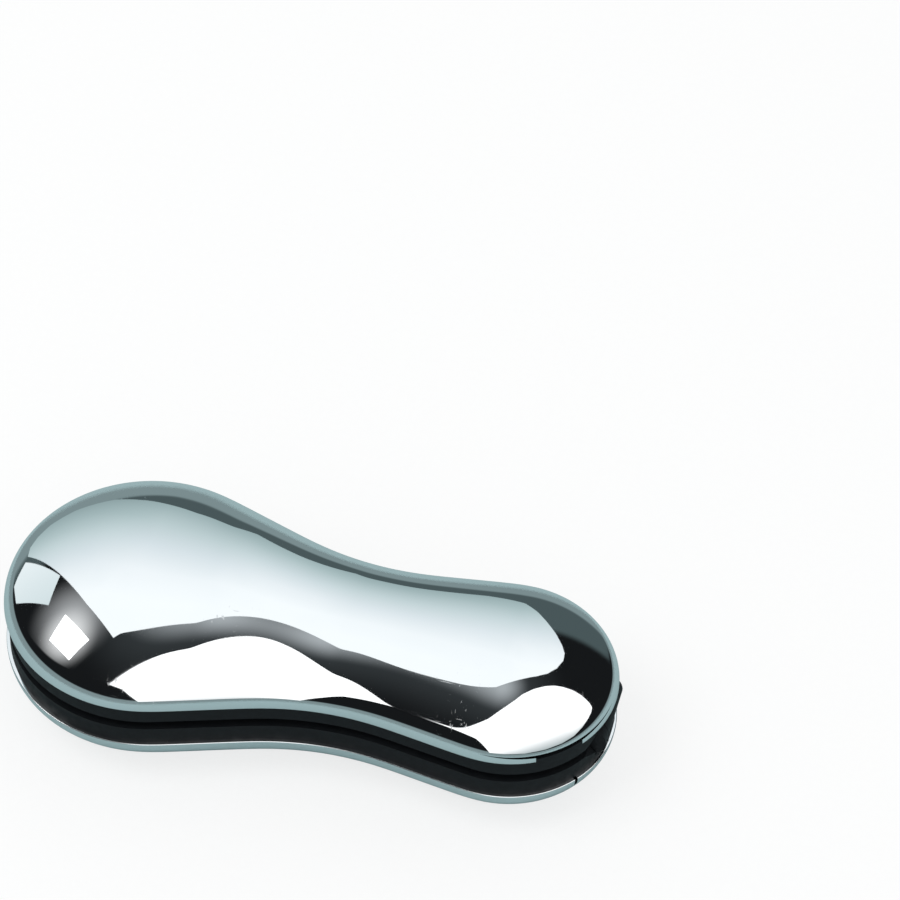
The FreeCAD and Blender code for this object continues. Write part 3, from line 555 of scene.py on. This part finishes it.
def drawn_half_width(x):
    """Half width of the outline as drawn: lobe arc, flank, neck arc, flank, lobe arc."""
    x -= BIG_X
    if x <= BIG_RADIUS * BIG_NORMAL[0]:
        return math.sqrt(BIG_RADIUS ** 2 - x ** 2)
    if x <= NECK_ALONG - NECK_RADIUS * BIG_NORMAL[0]:
        return (BIG_RADIUS - x * BIG_NORMAL[0]) / BIG_NORMAL[1]
    if x <= NECK_ALONG - NECK_RADIUS * SMALL_NORMAL[0]:
        return NECK_ASIDE - math.sqrt(NECK_RADIUS ** 2 - (x - NECK_ALONG) ** 2)
    x -= SPACING
    if x <= SMALL_RADIUS * SMALL_NORMAL[0]:
        return (SMALL_RADIUS - x * SMALL_NORMAL[0]) / SMALL_NORMAL[1]
    return math.sqrt(SMALL_RADIUS ** 2 - x ** 2)


def eased(x):
    """Weighted mean of the drawn half width near x."""
    total = weights = 0.0
    for i in range(-EASE_STEPS, EASE_STEPS + 1):
        offset = EASE_REACH * i / EASE_STEPS
        weight = math.exp(-offset ** 2 / 2)
        place = x + offset * SOFTEN
        if place < BIG_X:
            place = 2 * BIG_X - place
        if place > SMALL_X:
            place = 2 * SMALL_X - place
        total += weight * drawn_half_width(place)
        weights += weight
    return total / weights


BIG_EASE = BIG_RADIUS - eased(BIG_X)
SMALL_EASE = SMALL_RADIUS - eased(SMALL_X)
EASE_POWER = 4


def half_width(x):
    """Eased half width that still meets both lobes."""
    share = (x - BIG_X) / SPACING
    fade = 0.5 + 0.5 * math.cos(math.pi * share)
    return eased(x) + BIG_EASE * fade ** EASE_POWER + SMALL_EASE * (1 - fade) ** EASE_POWER


def step(value, start, end):
    return smooth((value - start) / (end - start))


def crown_height(x):
    """Ridge height over the rim: level on the big lobe, lowest at the neck, higher on the small."""
    fall = (BIG_CROWN - NECK_CROWN) * (1 - step(x - BIG_X, *RIDGE_FALL))
    return NECK_CROWN + fall + (SMALL_CROWN - NECK_CROWN) * step(x - BIG_X, *RIDGE_RISE)


SLANT_SPAN = 0.01


def slant(x):
    """Length of the outline per unit of x."""
    rise = (half_width(x + SLANT_SPAN) - half_width(x - SLANT_SPAN)) / (2 * SLANT_SPAN)
    return math.hypot(1.0, rise)


class Column:
    """Where a section of the shell starts: a spine point, its facing, width and height."""

    def __init__(self, x, angle, width, height, stretch=1.0):
        self.x = x
        self.angle = angle
        self.facing = (math.cos(math.radians(angle)), math.sin(math.radians(angle)))
        self.width = width
        self.height = height
        self.stretch = stretch

    def at(self, across, z):
        return Vector((self.x + across * self.facing[0], across * self.facing[1], z))


BIG_COLUMNS = 112
SIDE_COLUMNS = 90
SMALL_COLUMNS = 84


def big_column(angle):
    return Column(BIG_X, angle, BIG_RADIUS, BIG_CROWN)


def small_column(angle):
    return Column(SMALL_X, angle, SMALL_RADIUS, SMALL_CROWN)


def side_column(x, side):
    return Column(x, 90.0 * side, half_width(x), crown_height(x), slant(x))


def around():
    """Columns along the neck's back, round the big lobe and along the neck's front."""
    span = SPACING / SIDE_COLUMNS
    columns = [side_column(SMALL_X - span * i, 1) for i in range(1, SIDE_COLUMNS)]
    columns += [big_column(90 + 180 * i / BIG_COLUMNS) for i in range(BIG_COLUMNS + 1)]
    columns += [side_column(BIG_X + span * i, -1) for i in range(1, SIDE_COLUMNS)]
    return columns


def spread(low, high, count):
    return [low + (high - low) * i / count for i in range(count + 1)]


def section(column, inset, start_z, end_z, round_rows, crown_rows):
    """Points across the shell at a column, from start_z up to the ridge or to end_z."""
    reach = column.width - ROUND
    height = column.height
    crown_radius = (reach ** 2 + height ** 2 - ROUND ** 2) / (2 * (height - ROUND))
    drop = crown_radius - height
    slope = math.atan2(drop, reach)
    round_radius = ROUND - inset
    crown_radius -= inset
    start = math.asin(min(1.0, (start_z - RIM) / round_radius))
    end = math.asin(min(1.0, (end_z - RIM + drop) / crown_radius))
    points = [(reach + round_radius * math.cos(t), RIM + round_radius * math.sin(t))
              for t in spread(start, slope, round_rows)]
    points += [(crown_radius * math.cos(t), RIM - drop + crown_radius * math.sin(t))
               for t in spread(slope, end, crown_rows)[1:]]
    return [column.at(across, z) for across, z in points]


MERGE = 2e-6                 # metres
SHORTEST = 1e-7


def placed(mesh, upper):
    """Takes a mesh from millimetres in half coordinates to metres in the part's place."""
    for vertex in mesh.verts:
        x, y, z = vertex.co
        vertex.co = Vector((x, y, STAND + (z if upper else -z))) * MM
    bmesh.ops.remove_doubles(mesh, verts=mesh.verts, dist=MERGE)
    bmesh.ops.dissolve_degenerate(mesh, edges=mesh.edges, dist=SHORTEST)
    bmesh.ops.recalc_face_normals(mesh, faces=mesh.faces)


def grid(mesh, rows, closed):
    """Quads between neighbouring lists of vertices."""
    pairs = list(zip(rows, rows[1:]))
    if closed:
        pairs.append((rows[-1], rows[0]))
    for first, second in pairs:
        for i in range(len(first) - 1):
            mesh.faces.new((first[i], first[i + 1], second[i + 1], second[i]))


SHARP = 35.0                 # degrees
FOAM_SHARP = 60.0
CLOTH_SHARP = 70.0


def new_piece(name, mesh, look, body, nodes, sharp=SHARP):
    """Makes an object that stands for its nodes; edges over the sharp angle stay crisp."""
    data = bpy.data.meshes.new(name)
    mesh.to_mesh(data)
    mesh.free()
    data.shade_smooth()
    data.set_sharp_from_angle(angle=math.radians(sharp))
    piece = bpy.data.objects.new(name, data)
    bpy.context.scene.collection.objects.link(piece)
    data.materials.append(look)
    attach(piece, body)
    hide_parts(*nodes)
    return piece


ROUND_ROWS = 14
CROWN_ROWS = 34
INNER_ROWS = 8
RIDGE_MERGE = 0.002          # sections meet along the ridge
FLAT_MARGIN = 0.2


def fill_flats(mesh, z):
    """Closes the openings left where the crown is cut flat, at z and beyond."""
    edges = [edge for edge in mesh.edges
             if edge.is_boundary and min(v.co.z for v in edge.verts) > z - FLAT_MARGIN]
    bmesh.ops.holes_fill(mesh, edges=edges)


def cover(name, upper, body):
    outer_flat = RIM + BIG_CROWN if upper else FLAT
    inner_flat = outer_flat if upper else FLAT - STAND_WALL
    columns = [small_column(90.0)] + around()
    columns += [small_column(a) for a in spread(-90, 90, SMALL_COLUMNS)[:-1]]
    mesh = bmesh.new()
    outer, inner = [], []
    for column in columns:
        outer.append([mesh.verts.new(p) for p in
                      section(column, 0.0, RING_TOP, outer_flat, ROUND_ROWS, CROWN_ROWS)])
        inner.append([mesh.verts.new(p) for p in
                      section(column, WALL, RING_TOP, inner_flat, INNER_ROWS, INNER_ROWS)])
    grid(mesh, outer, True)
    grid(mesh, inner, True)
    grid(mesh, [[a[0], b[0]] for a, b in zip(outer, inner)], True)
    bmesh.ops.remove_doubles(mesh, verts=mesh.verts, dist=RIDGE_MERGE)
    if not upper:
        fill_flats(mesh, inner_flat)
    placed(mesh, upper)
    new_piece(name + "_shell", mesh, CHROME, body, [name])


RING_ROUND_ROWS = 3
RING_WALL_ROWS = 8
RING_FIRST_COLUMNS = 60      # on the small lobe, from the gap to the back
RING_LAST_COLUMNS = 24       # and from its front to the gap


def ring_section(column, top):
    """Section of a trim ring: its worn edge, the outer face up to the top, then the inner face."""
    points = [(column.width - RING_ROUND + RING_ROUND * math.cos(t),
               RIM + RING_ROUND + RING_ROUND * math.sin(t))
              for t in spread(-math.pi / 2, 0, RING_ROUND_ROWS)]
    reach = column.width - ROUND
    low = math.asin(2 * RING_ROUND / ROUND)
    points += [(reach + ROUND * math.cos(t), RIM + ROUND * math.sin(t))
               for t in spread(low, math.asin((top - RIM) / ROUND), RING_WALL_ROWS)]
    inner = column.width - RING_INSET * column.stretch
    points += [(inner, top), (inner, RIM)]
    return [column.at(across, z) for across, z in points]


def trim_ring(name, upper, body, gap, angle, droop):
    half = math.degrees(math.asin(gap / 2 / SMALL_RADIUS))
    columns = [small_column(a) for a in spread(angle + half, 90, RING_FIRST_COLUMNS)]
    columns += around()
    columns += [small_column(a) for a in spread(-90, angle - half, RING_LAST_COLUMNS)]
    mesh = bmesh.new()
    rows = []
    for column in columns:
        top = RING_TOP
        if column.x == SMALL_X:
            away = abs(column.angle - angle) - half
            top -= droop * max(0.0, 1 - away / SPLIT_REACH)
        row = [mesh.verts.new(p) for p in ring_section(column, top)]
        rows.append(row + row[:1])
    grid(mesh, rows, False)
    for row in (rows[0], rows[-1]):
        mesh.faces.new(row[:-1])
    placed(mesh, upper)
    new_piece(name + "_bead", mesh, CHROME, body, [name])


cover("top_cover", True, "lid")
cover("bottom_cover", False, "base")
trim_ring("top_trim_ring", True, "lid", SPLIT_GAP, SPLIT_ANGLE, SPLIT_DROOP)
trim_ring("bottom_trim_ring", False, "base", JOINT_GAP, JOINT_ANGLE, 0.0)

# ---------------------------------------------------------------- pads

PAD_HALF = 7.6
PAD_TIP = 51.0               # centre of the round tip, from the hub
HOLLOW = 15.4                # radius of the hollow end round the hub
SIDE_STEPS = 34
END_STEPS = 24

# Sections as (distance outside the foam's outline, half coordinate). The foam is pressed in a
# little between the frame and the cloth; the cloth is crowned, rolls over the foam's edge and
# carries a welded line just inside it.
FOAM_SECTION = [(-2.0, 2.95), (-0.12, 2.95), (0.0, 2.82), (-0.10, 2.45), (-0.16, 1.95),
                (-0.10, 1.45), (0.0, 1.08), (-0.12, 0.96), (-2.0, 0.96)]
CLOTH_SECTION = [(-2.0, 0.95), (-0.1, 0.95), (0.1, 0.93), (0.18, 0.82), (0.2, 0.68), (0.14, 0.50),
                 (0.0, 0.37), (-0.25, 0.28), (-0.6, 0.25), (-0.85, 0.28), (-0.98, 0.36),
                 (-1.08, 0.40), (-1.18, 0.36), (-1.31, 0.27), (-1.6, 0.21), (-2.2, 0.175),
                 (-3.4, 0.155), (-5.0, 0.15)]
PUCKER = 0.05                # depth of the cloth's unevenness between the weld's pinches
PUCKER_PITCH = 2.6
PUCKER_FROM = -0.8           # the rolled edge between these margins puckers, where it is exposed
PUCKER_TO = 0.05
PUCKER_BELOW = 0.6


def pad_outline(margin, z):
    """Closed outline, with the same count of points whatever the margin."""
    half = PAD_HALF + margin
    hollow = HOLLOW - margin
    turn = math.asin(half / hollow)
    start = hollow * math.cos(turn)
    points = [(start + (PAD_TIP - start) * i / SIDE_STEPS, -half) for i in range(SIDE_STEPS)]
    points += [(PAD_TIP + half * math.sin(math.pi * i / END_STEPS),
                -half * math.cos(math.pi * i / END_STEPS)) for i in range(END_STEPS)]
    points += [(PAD_TIP + (start - PAD_TIP) * i / SIDE_STEPS, half) for i in range(SIDE_STEPS)]
    points += [(hollow * math.cos(turn * (1 - 2 * i / END_STEPS)),
                hollow * math.sin(turn * (1 - 2 * i / END_STEPS))) for i in range(END_STEPS)]
    return [Vector((BIG_X + x, y, z)) for x, y in points]


def pad_cap(mesh, ring):
    """Quads inside a ring, placed between its two sides, its tip and its hollow end."""
    lower = ring[:SIDE_STEPS + 1]
    tip = ring[SIDE_STEPS:SIDE_STEPS + END_STEPS + 1]
    upper = ring[SIDE_STEPS + END_STEPS:2 * SIDE_STEPS + END_STEPS + 1][::-1]
    hollow = (ring[2 * SIDE_STEPS + END_STEPS:] + ring[:1])[::-1]
    rows = [lower]
    for j in range(1, END_STEPS):
        across = j / END_STEPS
        row = [hollow[j]]
        for i in range(1, SIDE_STEPS):
            along = i / SIDE_STEPS
            ends = hollow[j].co.lerp(tip[j].co, along)
            sides = lower[i].co.lerp(upper[i].co, across)
            low = lower[0].co.lerp(lower[-1].co, along)
            high = upper[0].co.lerp(upper[-1].co, along)
            row.append(mesh.verts.new(ends + sides - low.lerp(high, across)))
        rows.append(row + [tip[j]])
    rows.append(upper)
    grid(mesh, rows, False)


def pad_mesh(profile, pucker, upper):
    mesh = bmesh.new()
    rings = []
    for margin, z in profile:
        ring = []
        for point in pad_outline(margin, z):
            if PUCKER_FROM < margin < PUCKER_TO and z < PUCKER_BELOW:
                wave = math.sin(2 * math.pi * (point.x + 2 * point.y) / PUCKER_PITCH)
                point.z += pucker * 0.5 * (1 - wave)
            ring.append(mesh.verts.new(point))
        rings.append(ring)
    grid(mesh, [ring + ring[:1] for ring in rings], False)
    pad_cap(mesh, rings[0])
    pad_cap(mesh, rings[-1])
    placed(mesh, upper)
    return mesh


def pad(half, upper, body):
    mesh = pad_mesh(FOAM_SECTION, 0.0, upper)
    foam = new_piece(half + "_pad_foam", mesh, FOAM, body, [half + "_foam_pad"],
                     FOAM_SHARP)
    mesh = pad_mesh(CLOTH_SECTION, PUCKER, upper)
    cloth = new_piece(half + "_pad_cloth", mesh, CLOTH, body, [half + "_cloth_pad"],
                      CLOTH_SHARP)


pad("top", True, "lid")
pad("bottom", False, "base")

# ---------------------------------------------------------------- carried-over nodes

LOOKS = {
    BLACK: ("top_frame", "bottom_frame"),
    STEEL: ("top_screws", "bottom_screws", "clamp_axle", "hub_axle", "hinge_pin"),
    WIRE: ("hinge_spring",),
    WASHER: ("clamp_washer", "hub_washer"),
    HUB: ("disc_clamp", "disc_hub"),
    RUBBER: ("clamp_friction_ring", "hub_friction_ring", "standing_feet"),
}

for look, names in LOOKS.items():
    for name in names:
        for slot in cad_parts[name].material_slots:
            slot.material = look
